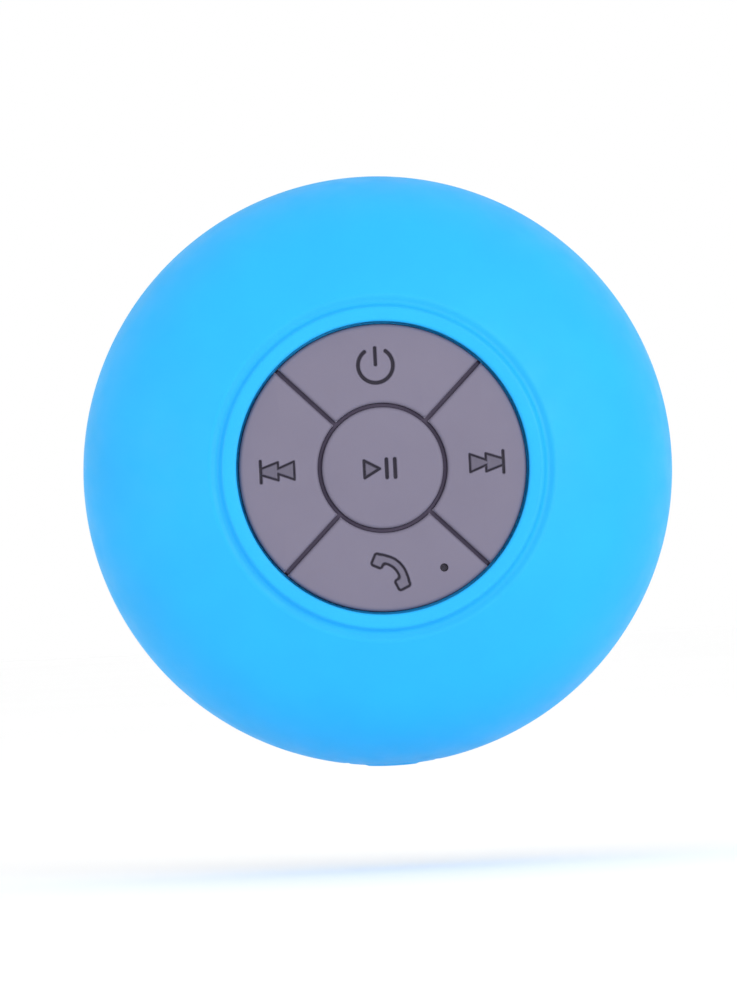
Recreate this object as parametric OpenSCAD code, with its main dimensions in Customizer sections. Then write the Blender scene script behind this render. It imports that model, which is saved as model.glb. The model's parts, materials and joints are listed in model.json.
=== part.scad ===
// Round wall speaker with a soft skin, a five-key pad and a suction cup.
// Everything is drawn standing on the wall plane: z = 0 is the wall and z grows away from it.
// place() then turns it upright, so +Z is up and -Y points away from the wall.

/* [Body] */
// Largest diameter of the soft body
body_d = 86; // [84:0.5:90]
// Distance from the wall to the rear face of the body
rear_z = 17; // [17:0.25:18]
// Radius of the edge round the rear face
rear_edge_r = 12.5; // [12:0.25:13]
// Radius of the front shoulder
shoulder_r = 20; // [19.5:0.25:21]
// Radius of the domed front
cap_r = 65; // [64:0.5:67]
// Thickness of the soft skin
skin_t = 2.2; // [2:0.1:2.3]
// Thickness of the hard inner shell
shell_t = 2; // [1.8:0.1:2.1]

/* [Keypad] */
// Radius of the round opening that holds the keys
pad_r = 21; // [20.8:0.1:21.2]
// Gap between the keys and the opening
pad_gap = 0.4; // [0.3:0.05:0.5]
// Radius of the round middle key
middle_key_r = 8.7; // [8:0.1:9.2]
// Width of the grooves between keys
groove_w = 0.6; // [0.5:0.05:0.8]
// How far a key travels
key_travel = 0.4; // [0.3:0.05:0.45]
// Width of the raised collar round the keys
collar_w = 3; // [2.6:0.1:3.2]
// Height of the raised collar
collar_h = 0.7; // [0.5:0.05:0.8]
// Distance from the middle to each outer key's switch
key_reach = 14.7; // [14.4:0.1:15]

/* [Suction cup] */
// Outer radius of the cup's rim
cup_r = 31; // [30:0.5:32]
// Width of the flat rim
rim_w = 3.5; // [3:0.25:4]
// Depth of the hollow under the cup
cup_depth = 6.5; // [6:0.25:6.75]
// Radius of the stud the body turns on
stud_r = 4; // [3.8:0.1:4.1]

/* [Driver] */
// Outer radius of the driver's frame
driver_r = 20; // [19.8:0.1:20.2]
// Number of sound slots in the rear cover
slot_count = 18; // [12:1:20]

/* [Charging port] */
// Width of the flap's window in the skin
window_w = 13.4; // [13:0.1:14]
// Height of the flap's window in the skin
window_h = 9.3; // [9.1:0.1:9.5]

/* [Hidden] */
$fn = 96;
FIT = 0.05;
TINY = 0.01;
FAR = 100;
// how far a cut runs past a face
OVER = 1;
// sides of small round edges and of wires
FINE = 48;
COARSE = 16;

// the body's outline: three arcs that meet in line
mid_z = rear_z + rear_edge_r;
rear_x = body_d / 2 - rear_edge_r;
shoulder_x = body_d / 2 - shoulder_r;
cap_z = mid_z - sqrt(pow(cap_r - shoulder_r, 2) - pow(shoulder_x, 2));
cap_lean = shoulder_x / (mid_z - cap_z);
function cap_height(r, inset) = cap_z + sqrt(pow(cap_r - inset, 2) - r * r);
function rear_reach(z, inset) = rear_x + sqrt(pow(rear_edge_r - inset, 2) - pow(mid_z - z, 2));

// the stack of the keypad, from the collar inwards
foot_z = cap_height(pad_r + collar_w, 0);
crest_z = foot_z + collar_h;
key_top = foot_z;
key_t = 1.6;
key_back = key_top - key_t;
mat_top = key_back - 0.6;
mat_t = 0.8;
mat_r = pad_r + 1.4;
deck_top = mat_top - mat_t;
deck_t = 1.6;
board_top = deck_top - 2.4;
board_t = 1.2;
board_back = board_top - board_t;
board_r = 24;
post_ring = 21.4;
post_r = 2.2;
post_pilot_r = 0.7;
post_pilot_top = deck_top - 0.6;
board_hole_r = 1.1;
switch_t = 1.3;
stem_top = board_top + 1.9;
stem_r = 1.1;
plunger_r = 2;
foot_r = 2.8;
foot_t = 0.4;
KEY_SPOTS = [[0, key_reach], [-key_reach, 0], [0, 0], [key_reach, 0], [0, -key_reach]];
mic_spot = [8.1, -14.7];
mic_r = 2;
mic_t = 1.3;
mic_hole_r = 0.6;
led_spot = [-8, 15];

// the rear cover and what holds it
shell_inset = skin_t + 0.1;
cover_r = 32.7;
skin_rear_r = 33;
cover_t = shell_inset;
cover_top = rear_z + cover_t;
shell_open_r = 26;
seal_r = 27.2;
seal_w = 1.2;
seal_t = 0.9;
screw_ring = 29.6;
boss_r = 2.6;
boss_top = cover_top + 7.7;
pilot_r = 0.9;
screw_seat_r = 2.1;
screw_seat_t = 1.4;
screw_hole_r = 1.15;

// the suction cup and its stud
cup_in_r = cup_r - rim_w;
dome_in = (cup_in_r * cup_in_r + cup_depth * cup_depth) / (2 * cup_depth);
lip_t = 0.9;
dome_h = cup_depth + 5;
dome_out = (cup_r * cup_r + pow(dome_h - lip_t, 2)) / (2 * (dome_h - lip_t));
hub_r = 9;
hub_top = rear_z - 2.5;
anchor_z = cup_depth + 1.7;
anchor_r = 6.5;
anchor_t = 1.4;
socket_r = stud_r + FIT;
socket_top = cover_top + 2.2;
clip_r = 6;
clip_t = 0.7;
socket_boss_r = clip_r + 1;
groove_r = stud_r - 0.9;
stud_tip = socket_top + 1.7;

// the driver, which faces the wall
gasket_z = cover_top + 3.7;
gasket_t = 1;
frame_z = gasket_z + gasket_t;
frame_t = 1.2;
frame_in = driver_r - 1.6;
frame_back = frame_z + frame_t;
neck_z = frame_back + 8.2;
ear_ring = 22.3;
ear_r = 2.5;
ear_boss_r = 2.2;
ear_pilot_r = 0.8;
ear_pilot_z = rear_z + 1.5;
ear_hole_r = 1.1;
coil_in = 6.15;
coil_out = 6.6;
magnet_r = 14.5;
plate_z = neck_z + 1;
magnet_z = plate_z + 1.2;
yoke_z = magnet_z + 3.8;
yoke_t = 1.8;
cone_edge = 15.9;
cone_z = frame_back + 0.3;
cone_neck_z = frame_back + 5;
film = 0.3;
slot_in = 10;
slot_out = 16.4;
slot_w = 1.7;

// the charging port, at the bottom of the body
port_z = 27;
usb_board_z = port_z - 2.6;
usb_board_t = 1;
port = [7.6, 5.2, 2.7];
port_mouth = body_d / 2 - 5.2;
window_from = body_d / 2 - 6;
cheek_x = 6.4;
cheek_y = -31.5;
cheek_pilot_top = port_z + 2;
flap_t = 1.7;
flap_gap = 0.2;
barrel_r = 0.9;
hinge_gap = 0.5;
hinge_z = port_z - window_h / 2 + hinge_gap + barrel_r;
hinge_out = rear_reach(hinge_z, 0) - 1.05;

// the battery and the wires
wire_r = 0.5;
wire_joint = 1.1;
cell = [5.5, 30, 17];
cell_x = -30.3;
cell_z = 23;
pad_t = 0.8;

// ---- helpers ----

// turns the drawing upright, facing -Y
module place(c) {
  color(c) rotate([90, 0, 0]) children();
}

// a ring or a disc between two heights
module ring(out, in, z, t) {
  translate([0, 0, z]) difference() {
    cylinder(r = out, h = t);
    if (in > 0) translate([0, 0, -OVER]) cylinder(r = in, h = t + 2 * OVER);
  }
}

// copies at the four corners of a circle
module at_corners(r) {
  for (a = [45:90:315]) rotate(a) translate([r, 0, 0]) children();
}

// a rectangle with round corners, centred, from circles and bars
module round_rect(w, h, r) {
  square([w - 2 * r, h], center = true);
  square([w, h - 2 * r], center = true);
  for (x = [-1, 1], y = [-1, 1]) translate([x * (w / 2 - r), y * (h / 2 - r)]) circle(r = r);
}

// a prism that points straight down out of the body's lowest side, at height z
module downwards(z, from, to) {
  translate([0, -from, z]) rotate([90, 0, 0]) linear_extrude(to - from) children();
}

// a wire along a short list of points, as rods with slightly fatter round joints
module wire(points, r) {
  for (i = [0:len(points) - 2]) {
    run = points[i + 1] - points[i];
    length = norm(run);
    translate(points[i]) rotate([0, acos(run[2] / length), atan2(run[1], run[0])])
      cylinder(r = r, h = length, $fn = COARSE);
    if (i > 0) translate(points[i]) sphere(r = r * wire_joint, $fn = COARSE);
  }
}

// half of the body's section, moved inwards by an inset
module section_2d(inset) {
  axis_gap = 0.1;
  intersection() {
    translate([0, cap_z]) circle(r = cap_r - inset);
    polygon([[0, mid_z], [shoulder_x, mid_z], [shoulder_x + cap_lean * FAR, mid_z + FAR], [0, mid_z + FAR]]);
  }
  intersection() {
    translate([shoulder_x, mid_z]) circle(r = shoulder_r - inset);
    translate([axis_gap, mid_z]) square(FAR);
  }
  intersection() {
    translate([rear_x, mid_z]) circle(r = rear_edge_r - inset);
    translate([axis_gap, mid_z - FAR]) square(FAR);
  }
  translate([0, rear_z + inset]) square([rear_x, rear_edge_r - inset]);
}

// ---- suction cup and stud ----

module suction_cup() {
  place("lightcyan") difference() {
    union() {
      rotate_extrude() difference() {
        union() {
          intersection() {
            translate([0, dome_h - dome_out]) circle(r = dome_out);
            square([cup_r, dome_h]);
          }
          square([cup_r, lip_t]);
          square([hub_r, hub_top]);
        }
        translate([0, cup_depth - dome_in]) circle(r = dome_in);
        translate([-FAR, -FAR]) square([2 * FAR, FAR]);
        translate([-FAR, 0]) square([FAR, FAR]);
      }
      pull_tab();
    }
    ring(anchor_r + FIT, 0, anchor_z - FIT, anchor_t + 2 * FIT);
    ring(stud_r + FIT, 0, anchor_z, hub_top);
  }
}

// the tongue that lets air in under the rim
module pull_tab() {
  tab_w = 9;
  tab_t = 1.1;
  tab_z = 0.3;
  tab_in = cup_r - 2;
  tab_out = cup_r + 5;
  translate([0, 0, tab_z]) linear_extrude(tab_t) {
    translate([-tab_w / 2, tab_in]) square([tab_w, tab_out - tab_in]);
    translate([0, tab_out]) circle(d = tab_w);
  }
}

module cup_stud() {
  collar_r = hub_r + 0.4;
  collar_gap = 0.15;
  place("whitesmoke") difference() {
    union() {
      ring(anchor_r, 0, anchor_z, anchor_t);
      ring(stud_r, 0, anchor_z + TINY, stud_tip - anchor_z - TINY);
      ring(collar_r, 0, hub_top + FIT, rear_z - collar_gap - hub_top - FIT);
    }
    ring(stud_r + OVER, groove_r, socket_top + FIT, clip_t + FIT);
  }
}

// an open spring ring in the stud's groove
module stud_clip() {
  mouth = 3.4;
  play = 0.03;
  place("silver") difference() {
    ring(clip_r, groove_r + play, socket_top + FIT + play, clip_t - FIT);
    translate([0, -mouth / 2, 0]) cube([FAR, mouth, FAR]);
  }
}

// ---- case ----

module silicone_skin() {
  edge = collar_h;
  seat_z = mat_top + 0.1;
  window_corner = 1.5;
  place("deepskyblue") difference() {
    rotate_extrude() {
      difference() {
        section_2d(0);
        section_2d(skin_t);
        square([pad_r, FAR]);
        square([skin_rear_r, mid_z]);
        translate([0, foot_z]) square([pad_r + collar_w, FAR]);
      }
      translate([pad_r, seat_z]) square([mat_r - pad_r, crest_z - seat_z]);
      translate([pad_r, foot_z - OVER]) square([collar_w - edge, crest_z - foot_z + OVER]);
      translate([pad_r + collar_w - edge, crest_z - edge]) circle(r = edge, $fn = FINE);
    }
    downwards(port_z, window_from, body_d) round_rect(window_w, window_h, window_corner);
  }
}

module front_shell() {
  port_hole = [9.6, 4.6];
  seal_groove = [seal_r + seal_w / 2 + FIT, seal_r - seal_w / 2 - FIT];
  deck_window_r = 3.8;
  led_window_r = 1.3;
  place("dimgray") difference() {
    union() {
      rotate_extrude() {
        difference() {
          section_2d(shell_inset);
          section_2d(shell_inset + shell_t);
          square([shell_open_r, mid_z]);
          translate([0, deck_top]) square([mat_r + 0.2, FAR]);
        }
        intersection() {
          translate([0, deck_top - deck_t]) square([FAR, deck_t]);
          section_2d(shell_inset + TINY);
        }
      }
      at_corners(screw_ring) ring(boss_r, 0, cover_top, boss_top - cover_top);
      at_corners(post_ring) ring(post_r, 0, board_top, deck_top - deck_t - board_top + TINY);
      intersection() {
        rotate_extrude() section_2d(shell_inset + shell_t / 4);
        union() {
          port_cheeks();
          battery_wall();
        }
      }
    }
    for (spot = KEY_SPOTS) translate(spot) cylinder(r = deck_window_r, h = FAR);
    translate(mic_spot) cylinder(r = mic_r + shell_t / 4, h = FAR);
    translate(led_spot) cylinder(r = led_window_r, h = FAR);
    at_corners(screw_ring) ring(pilot_r, 0, 0, boss_top - OVER);
    at_corners(post_ring) ring(post_pilot_r, 0, 0, post_pilot_top);
    for (x = [-1, 1]) translate([x * cheek_x, cheek_y, 0]) cylinder(r = post_pilot_r, h = cheek_pilot_top);
    ring(seal_groove[0], seal_groove[1], cover_top - OVER, seal_t + OVER);
    downwards(port_z, window_from, body_d) square(port_hole, center = true);
  }
}

// two blocks beside the charging port, which its little board is screwed to
module port_cheeks() {
  cheek = [4.6, 14, 5];
  for (x = [-1, 1]) translate([x * (cheek_x + 0.5) - cheek[0] / 2, -body_d / 2, usb_board_z + usb_board_t])
    cube(cheek);
}

// the flat wall that the battery lies against, on three webs
module battery_wall() {
  t = 1.2;
  back = cell_x - pad_t - 2 * FIT;
  translate([back - t, -cell[1] / 2, cell_z]) cube([t, cell[1], cell[2]]);
  for (y = [-1, 0, 1]) translate([back - FAR, y * (cell[1] - t) / 2 - t / 2, cell_z])
    cube([FAR, t, cell[2]]);
}

module rear_cover() {
  rim = 0.8;
  place("darkslategray") difference() {
    union() {
      rotate_extrude() {
        translate([0, rear_z]) square([cover_r - rim, cover_t]);
        translate([0, rear_z + rim]) square([cover_r, cover_t - rim]);
        translate([cover_r - rim, rear_z + rim]) circle(r = rim, $fn = FINE);
      }
      ring(driver_r, frame_in, cover_top - TINY, gasket_z - cover_top + TINY);
      ring(socket_boss_r, 0, cover_top - TINY, socket_top - cover_top + TINY);
      at_corners(ear_ring) ring(ear_boss_r, 0, cover_top - TINY, frame_z - cover_top + TINY);
    }
    ring(socket_r, 0, 0, FAR);
    for (i = [0:slot_count - 1]) rotate((i + 0.5) * 360 / slot_count) sound_slot();
    at_corners(screw_ring) case_screw_seat();
    at_corners(ear_ring) ring(ear_pilot_r, 0, ear_pilot_z, FAR);
  }
}

module sound_slot() {
  linear_extrude(cover_top + OVER) {
    translate([slot_in, -slot_w / 2]) square([slot_out - slot_in, slot_w]);
    translate([slot_in, 0]) circle(d = slot_w);
    translate([slot_out, 0]) circle(d = slot_w);
  }
}

module case_screw_seat() {
  ring(screw_hole_r, 0, 0, FAR);
  ring(screw_seat_r, 0, 0, rear_z + screw_seat_t);
}

// a screw that points away from the wall, its head's underside at z
module screw(z, head_r, head_t, shank_r, length) {
  slot = [head_r * 1.2, 0.4, OVER + head_t / 2];
  difference() {
    union() {
      ring(head_r, 0, z - head_t, head_t);
      ring(shank_r, 0, z - TINY, length + TINY);
    }
    for (a = [0, 90]) rotate(a) translate([-slot[0] / 2, -slot[1] / 2, z - head_t - OVER]) cube(slot);
  }
}

module case_seal() {
  place("black") ring(seal_r + seal_w / 2, seal_r - seal_w / 2, cover_top, seal_t - FIT);
}

module case_screws() {
  head_r = screw_seat_r - 0.2;
  head_t = screw_seat_t - 0.2;
  length = 6.5;
  place("silver") at_corners(screw_ring) screw(rear_z + screw_seat_t, head_r, head_t, pilot_r - FIT, length);
}

module sound_mesh() {
  cloth_t = 0.2;
  place("black") ring(frame_in - 0.4, socket_boss_r + 0.2, cover_top + FIT, cloth_t);
}

// ---- keypad ----

module keypad_mat() {
  place("slategray") difference() {
    ring(mat_r, 0, mat_top - mat_t, mat_t);
    for (spot = KEY_SPOTS) translate(spot) cylinder(r = plunger_r + 0.2, h = FAR);
    translate(mic_spot) cylinder(r = mic_hole_r + 0.2, h = FAR);
  }
}

// the stalk under a key, with the wider foot that keeps it in the mat
module plunger(spot) {
  translate(spot) {
    ring(plunger_r, 0, stem_top, key_back - stem_top + TINY);
    ring(foot_r, 0, stem_top, foot_t);
  }
}

// one of the four outer keys: a quarter of a ring, turned so its middle is at angle a
module outer_key(a, spot) {
  tip = groove_w / sqrt(2);
  reach = pad_r * 2;
  translate([0, 0, key_back]) linear_extrude(key_t) intersection() {
    difference() {
      circle(r = pad_r - pad_gap);
      circle(r = middle_key_r + groove_w);
    }
    rotate(a) polygon([[tip, 0], [reach, reach - tip], [reach, tip - reach]]);
  }
  plunger(spot);
}

module key_power() {
  place("thistle") outer_key(90, KEY_SPOTS[0]);
}

module key_previous() {
  place("thistle") outer_key(180, KEY_SPOTS[1]);
}

module key_play() {
  place("thistle") {
    ring(middle_key_r, 0, key_back, key_t);
    plunger(KEY_SPOTS[2]);
  }
}

module key_next() {
  place("thistle") outer_key(0, KEY_SPOTS[3]);
}

module key_call() {
  place("thistle") difference() {
    outer_key(270, KEY_SPOTS[4]);
    translate(mic_spot) cylinder(r = mic_hole_r, h = FAR);
  }
}

// ---- electronics ----

module main_board() {
  place("seagreen") difference() {
    ring(board_r, 0, board_back, board_t);
    at_corners(post_ring) cylinder(r = board_hole_r, h = FAR);
  }
}

module switch_bodies() {
  side = 4.5;
  well_z = board_top + 0.4;
  place("gainsboro") for (spot = KEY_SPOTS) translate(spot) difference() {
    translate([-side / 2, -side / 2, board_top]) cube([side, side, switch_t]);
    ring(stem_r + FIT, 0, well_z, FAR);
  }
}

module stem(spot) {
  stem_z = board_top + 0.85;
  place("black") translate(spot) ring(stem_r, 0, stem_z, stem_top - stem_z);
}

module stem_power() {
  stem(KEY_SPOTS[0]);
}

module stem_previous() {
  stem(KEY_SPOTS[1]);
}

module stem_play() {
  stem(KEY_SPOTS[2]);
}

module stem_next() {
  stem(KEY_SPOTS[3]);
}

module stem_call() {
  stem(KEY_SPOTS[4]);
}

module board_screws() {
  head_r = 1.5;
  head_t = 1.1;
  shank_r = post_pilot_r - FIT;
  spare = 0.1;
  cheek_length = 4;
  place("silver") {
    at_corners(post_ring) screw(board_back, head_r, head_t, shank_r, post_pilot_top - board_back - spare);
    for (x = [-1, 1]) translate([x * cheek_x, cheek_y, 0])
      screw(usb_board_z, head_r, head_t, shank_r, cheek_length);
  }
}

module microphone() {
  place("silver") translate(mic_spot) ring(mic_r, 0, board_top, mic_t);
}

module mic_gasket() {
  bore_r = 0.9;
  place("black") translate(mic_spot) ring(mic_r, bore_r, board_top + mic_t, deck_top - board_top - mic_t);
}

module status_light() {
  lamp = [1.6, 0.8, 0.6];
  place("white") translate([led_spot[0] - lamp[0] / 2, led_spot[1] - lamp[1] / 2, board_top]) cube(lamp);
}

// a flat part soldered under the main board
module chip(at, size) {
  translate([at[0] - size[0] / 2, at[1] - size[1] / 2, board_back - size[2]]) cube(size);
}

module wireless_module() {
  carrier = [14, 9, 0.8];
  can = [9, 7, 1];
  at = [0, 16];
  place("darkgreen") {
    chip(at, carrier);
    translate([1.5, 0, -carrier[2]]) chip(at, can);
  }
}

module amplifier_chip() {
  place("black") chip([14, -4], [5, 5, 1]);
}

module charger_chip() {
  place("black") chip([-6, -15], [3, 3, 0.9]);
}

module battery() {
  place("lightgray") translate([cell_x, -cell[1] / 2, cell_z]) cube(cell);
}

module battery_pad() {
  pad = [pad_t, 24, 13];
  place("black") translate([cell_x - pad_t - FIT, -pad[1] / 2, cell_z + (cell[2] - pad[2]) / 2]) cube(pad);
}

module battery_wires() {
  top = cell_z + cell[2];
  place("crimson") for (i = [0, 1]) {
    y = 8 + 2 * i;
    from_x = cell_x + 3;
    to_x = -18;
    wire([[from_x, y, top], [from_x, y, top + 1.5],
          [to_x, y, board_back - 2], [to_x, y, board_back]], wire_r);
  }
}

// ---- charging port ----

module usb_board() {
  board_w = 17.2;
  board_l = 7.5;
  overhang = 2.2;
  hole_r = 1;
  place("seagreen") difference() {
    translate([-board_w / 2, overhang - port_mouth, usb_board_z]) cube([board_w, board_l, usb_board_t]);
    for (x = [-1, 1]) translate([x * cheek_x, cheek_y, 0]) cylinder(r = hole_r, h = FAR);
  }
}

module usb_port() {
  wall = 0.4;
  mouth = [6.9, 4.8, 1.9];
  floor_z = usb_board_z + usb_board_t;
  place("silver") difference() {
    translate([-port[0] / 2, -port_mouth, floor_z]) cube(port);
    translate([-mouth[0] / 2, -port_mouth - TINY, floor_z + wall]) cube(mouth);
  }
}

module usb_wires() {
  back = port_mouth - 9;
  pitch = 1.6;
  place("royalblue") for (i = [0:3]) {
    x = pitch * (i - 1.5);
    wire([[x, -back, usb_board_z + usb_board_t], [x, -back, usb_board_z + 4],
          [x, -21.5, board_back - 2], [x, -21.5, board_back]], wire_r * 0.8);
  }
}

// a rubber lid that bends open about its rear edge; its tongue plugs the shell's hole
module usb_flap() {
  front_z = port_z + window_h / 2 - flap_gap;
  lid_w = window_w - 2 * flap_gap;
  lid_corner = 1;
  tongue = [8.8, 3.3];
  barrel_w = lid_w - 1.6;
  place("dodgerblue") {
    intersection() {
      rotate_extrude() difference() {
        section_2d(0);
        section_2d(flap_t);
      }
      downwards((hinge_z + front_z) / 2, window_from, body_d)
        round_rect(lid_w, front_z - hinge_z, lid_corner);
    }
    translate([0, -hinge_out, hinge_z]) rotate([0, 90, 0])
      cylinder(r = barrel_r, h = barrel_w, center = true);
    downwards(port_z - 0.1, port_mouth + 0.15, body_d / 2 - OVER) square(tongue, center = true);
  }
}

// ---- driver ----

module driver_basket() {
  wall = 0.9;
  neck_r = 15.2;
  bore_r = 12.4;
  top_z = neck_z + 1;
  bend_z = frame_back + 0.6;
  bridge = [ear_ring - driver_r + 1, 4, frame_t - 0.2];
  tag = [6.4, 5, 0.9];
  window = [FAR, 12, neck_z - frame_back - 2.2];
  place("dimgray") difference() {
    union() {
      ring(driver_r, frame_in, frame_z, frame_t);
      at_corners(ear_ring) ring(ear_r, 0, frame_z, frame_t);
      at_corners(driver_r - 1) translate([0, -bridge[1] / 2, frame_z + 0.1]) cube(bridge);
      rotate_extrude() polygon([
        [driver_r - wall, frame_back - 0.3], [driver_r - 0.1, frame_back - 0.3],
        [driver_r - 0.1, bend_z], [neck_r, top_z],
        [bore_r, top_z], [bore_r, neck_z], [neck_r - wall, neck_z], [driver_r - wall, bend_z]
      ]);
      translate([10.6, -11.5, top_z - tag[2]]) cube(tag);
    }
    at_corners(ear_ring) cylinder(r = ear_hole_r, h = FAR);
    for (a = [0:90:270]) rotate(a) translate([0, -window[1] / 2, frame_back + 1.4]) cube(window);
  }
}

module driver_gasket() {
  place("black") ring(driver_r, frame_in, gasket_z, gasket_t);
}

module driver_screws() {
  head_r = 1.7;
  head_t = 1.1;
  length = 5;
  place("silver") at_corners(ear_ring) translate([0, 0, frame_back]) mirror([0, 0, 1])
    screw(0, head_r, head_t, ear_pilot_r - FIT, length);
}

module driver_front_plate() {
  place("silver") ring(magnet_r - 1.5, coil_out + 0.3, plate_z, magnet_z - plate_z);
}

module driver_magnet() {
  bore_r = 8.6;
  place("black") ring(magnet_r, bore_r, magnet_z, yoke_z - magnet_z);
}

module driver_yoke() {
  place("silver") {
    ring(magnet_r - 0.5, 0, yoke_z, yoke_t);
    ring(coil_in - 0.25, 0, plate_z, yoke_z - plate_z + TINY);
  }
}

// the soft roll that lets the cone move
module surround() {
  roll_x = 17;
  roll_r = 1.2;
  roll_in_r = roll_r - film;
  inner_r = 15;
  outer_r = driver_r - 1;
  place("black") rotate_extrude() {
    difference() {
      translate([roll_x, frame_back]) circle(r = roll_r, $fn = FINE);
      translate([roll_x, frame_back]) circle(r = roll_in_r, $fn = FINE);
      translate([0, frame_back]) square([FAR, FAR]);
    }
    translate([roll_x + roll_in_r, frame_back]) square([outer_r - roll_x - roll_in_r, film]);
    translate([inner_r, frame_back]) square([roll_x - roll_in_r - inner_r, film]);
  }
}

module spider() {
  outer_r = 13.6;
  place("peru") ring(outer_r, coil_out + FIT, neck_z - film, film);
}

module cone() {
  inner_r = coil_out + FIT;
  neck_top = cone_neck_z + 0.9;
  rim_top = cone_z + 0.5;
  place("gray") rotate_extrude() polygon([
    [cone_edge, cone_z], [cone_edge - 0.9, cone_z], [inner_r, cone_neck_z], [inner_r, neck_top],
    [inner_r + 0.55, neck_top], [cone_edge - 0.4, rim_top], [cone_edge, rim_top]
  ]);
}

module dust_cap() {
  cap_t = 0.4;
  cap_in_r = coil_out + 0.2;
  dome_r = 12;
  foot = cone_neck_z - 0.6;
  dome_z = foot + sqrt(dome_r * dome_r - cap_in_r * cap_in_r);
  place("black") rotate_extrude() difference() {
    translate([0, dome_z]) circle(r = dome_r);
    translate([0, dome_z]) circle(r = dome_r - cap_t);
    translate([-FAR, -FAR]) square([FAR, 2 * FAR]);
    translate([0, foot]) square(FAR);
  }
}

module voice_coil() {
  winding = 7.4;
  place("darkorange") ring(coil_out, coil_in, cone_neck_z - 0.4, winding);
}

module speaker_wires() {
  place("firebrick") for (i = [0, 1]) {
    y = -8 - 2 * i;
    from_x = 16;
    to_x = 14.5;
    from_z = neck_z + 1;
    wire([[from_x, y, from_z], [from_x, y, from_z + 2],
          [to_x, y, board_back - 2], [to_x, y, board_back]], wire_r);
  }
}

suction_cup();
cup_stud();
stud_clip();
silicone_skin();
front_shell();
rear_cover();
case_seal();
case_screws();
sound_mesh();
keypad_mat();
key_power();
key_previous();
key_play();
key_next();
key_call();
main_board();
switch_bodies();
stem_power();
stem_previous();
stem_play();
stem_next();
stem_call();
board_screws();
microphone();
mic_gasket();
status_light();
wireless_module();
amplifier_chip();
charger_chip();
battery();
battery_pad();
battery_wires();
usb_board();
usb_port();
usb_wires();
usb_flap();
driver_basket();
driver_gasket();
driver_screws();
driver_front_plate();
driver_magnet();
driver_yoke();
surround();
spider();
speaker_wires();
cone();
dust_cap();
voice_coil();
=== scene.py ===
"""Wall speaker with a soft blue skin, a five-key pad and a suction cup.

Shapes are worked out in millimetres on the wall plane: x to the right, y up, and z away from the wall.
to_frame() turns them into the frame's metres, where the wall is y = 0 and the keypad faces -Y.
"""
import json
import math
from contextlib import contextmanager

import bmesh
import bpy
import numpy as np
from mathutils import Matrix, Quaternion, Vector


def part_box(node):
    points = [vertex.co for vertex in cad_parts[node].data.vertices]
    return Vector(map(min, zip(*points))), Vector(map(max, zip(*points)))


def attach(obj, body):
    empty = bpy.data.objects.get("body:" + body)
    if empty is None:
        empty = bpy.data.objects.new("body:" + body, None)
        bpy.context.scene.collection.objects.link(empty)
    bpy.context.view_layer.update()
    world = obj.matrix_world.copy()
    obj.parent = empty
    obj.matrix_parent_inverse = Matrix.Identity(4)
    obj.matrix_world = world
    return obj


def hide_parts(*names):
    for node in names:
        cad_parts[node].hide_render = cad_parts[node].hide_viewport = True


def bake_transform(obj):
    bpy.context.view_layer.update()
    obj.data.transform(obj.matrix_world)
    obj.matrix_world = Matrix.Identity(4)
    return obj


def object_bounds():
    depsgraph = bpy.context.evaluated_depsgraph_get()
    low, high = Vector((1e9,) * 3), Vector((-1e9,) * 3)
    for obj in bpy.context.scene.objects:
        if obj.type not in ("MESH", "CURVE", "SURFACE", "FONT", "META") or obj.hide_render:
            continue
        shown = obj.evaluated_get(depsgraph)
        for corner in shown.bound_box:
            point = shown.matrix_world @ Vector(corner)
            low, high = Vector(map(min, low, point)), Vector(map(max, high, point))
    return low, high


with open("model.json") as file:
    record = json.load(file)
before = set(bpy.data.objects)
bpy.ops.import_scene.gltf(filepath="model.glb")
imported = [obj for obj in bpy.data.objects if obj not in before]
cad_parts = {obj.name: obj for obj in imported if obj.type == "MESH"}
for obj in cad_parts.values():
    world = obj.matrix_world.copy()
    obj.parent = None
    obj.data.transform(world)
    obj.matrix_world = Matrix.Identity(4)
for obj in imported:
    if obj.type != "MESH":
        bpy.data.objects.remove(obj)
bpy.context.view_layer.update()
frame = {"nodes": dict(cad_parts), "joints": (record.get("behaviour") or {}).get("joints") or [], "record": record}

MM = 0.001
RIGHT_ANGLE = math.pi / 2


# ---- sizes, from the frame ----

def extent(node):
    """A node's lowest and highest x, y and z in millimetres, with z measured from the wall."""
    low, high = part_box(node)
    return (
        np.array([low.x, low.z, -high.y]) / MM,
        np.array([high.x, high.z, -low.y]) / MM,
    )


_, skin_high = extent("silicone_skin")
play_low, play_high = extent("key_play")
_, next_high = extent("key_next")
cover_low, cover_high = extent("rear_cover")
_, flap_high = extent("usb_flap")
port_low, port_high = extent("usb_port")
_, cup_high = extent("suction_cup")
stud_low, stud_high = extent("cup_stud")
mat_low, mat_high = extent("keypad_mat")
_, coil_high = extent("voice_coil")
driver_low, driver_high = extent("driver_gasket")
mic_low, mic_high = extent("microphone")

BODY_R = skin_high[0]
REAR_Z = cover_low[2]
CREST_Z = skin_high[2]
KEY_TOP = play_high[2]

# the body's outline: three arcs that meet in line
REAR_EDGE_R = 12.5
SHOULDER_R = 20.0
CAP_R = 65.0
SKIN_T = 2.2
MID_Z = REAR_Z + REAR_EDGE_R
REAR_X = BODY_R - REAR_EDGE_R
SHOULDER_X = BODY_R - SHOULDER_R
CAP_Z = MID_Z - math.sqrt((CAP_R - SHOULDER_R) ** 2 - SHOULDER_X**2)
CAP_TURN = math.atan2(MID_Z - CAP_Z, SHOULDER_X)

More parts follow.
